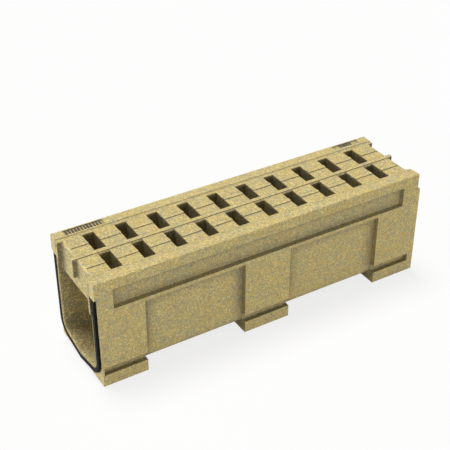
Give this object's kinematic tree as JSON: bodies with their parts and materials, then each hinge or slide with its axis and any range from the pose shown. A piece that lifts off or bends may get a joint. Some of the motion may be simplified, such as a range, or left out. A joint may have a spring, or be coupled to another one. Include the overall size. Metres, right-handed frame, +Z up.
{
  "type": "channel drain",
  "caption": "Monolithic polymer concrete drainage channel with rows of inlet slots, a vee floor, full-width feet, spigot and socket ends and a rubber end seal.",
  "frame": {"origin": "centre of the bounding box in plan, on the plane the feet stand on", "axes": "+X along the channel from the spigot end with the seal to the socket end, +Y across it towards the rail with the shallow panels, +Z up out of the inlet slots"},
  "size_m": [1.0076, 0.256, 0.325],
  "materials": {
    "polymer_concrete": "matt cast mineral surface with fine grit",
    "seal_rubber": "satin black rubber"
  },
  "bodies": {
    "root": {"channel_body": "polymer_concrete", "end_seal": "seal_rubber"}
  },
  "joints": []
}
